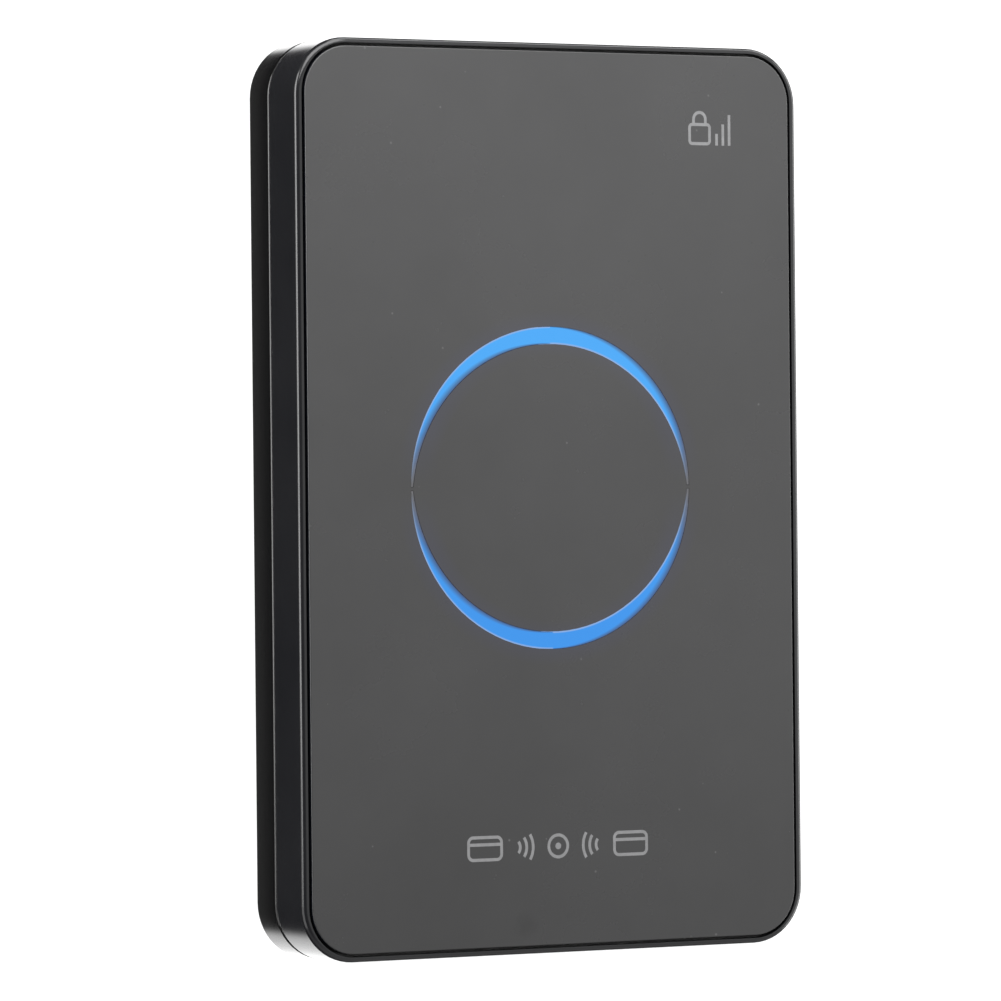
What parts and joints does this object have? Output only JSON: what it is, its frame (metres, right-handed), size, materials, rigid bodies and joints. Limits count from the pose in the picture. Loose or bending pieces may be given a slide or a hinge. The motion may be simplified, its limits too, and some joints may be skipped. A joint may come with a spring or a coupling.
{
  "type": "rfid card reader",
  "caption": "Slim desktop RFID card reader: two black shells, a grey front panel with a blue ring of light, and a USB socket at one end.",
  "frame": {"origin": "middle of the footprint, in the plane that the rubber feet rest on", "axes": "+Z out of the face that a card is held to, +Y along the body towards the socket end, +X across it"},
  "size_m": [0.066, 0.1036, 0.0115],
  "materials": {
    "shell_plastic": "satin",
    "panel_plastic": "satin",
    "adhesive_foam": "matte",
    "light_plastic": "frosted",
    "board_laminate": "satin",
    "copper": "satin",
    "package_plastic": "matte",
    "tinned_metal": "satin",
    "ferrite": "matte",
    "tantalum_case": "matte",
    "ceramic_body": "satin",
    "lamp_plastic": "satin",
    "socket_steel": "satin",
    "gold_contact": "polished",
    "screw_steel": "satin",
    "foot_rubber": "matte",
    "label_foil": "matte",
    "printed_ink": "matte"
  },
  "bodies": {
    "root": {"upper_shell": "shell_plastic", "back_cover": "shell_plastic", "front_panel": "panel_plastic", "panel_adhesive": "adhesive_foam", "light_guide": "light_plastic", "circuit_board": "board_laminate", "antenna_coil": "copper", "reader_chip": "package_plastic", "microcontroller": "package_plastic", "memory_chip": "package_plastic", "voltage_regulator": "package_plastic", "chip_leads": "tinned_metal", "crystal": "tinned_metal", "buzzer": "package_plastic", "matching_inductors": "ferrite", "bulk_capacitor": "tantalum_case", "ceramic_capacitors": "ceramic_body", "chip_resistors": "package_plastic", "ring_leds": "lamp_plastic", "usb_receptacle": "socket_steel", "usb_tongue": "package_plastic", "usb_contacts": "gold_contact", "housing_screws": "screw_steel", "board_screws": "screw_steel", "rubber_feet": "foot_rubber", "rating_label": "label_foil", "symbol_row": "printed_ink", "corner_mark": "printed_ink"}
  },
  "joints": []
}
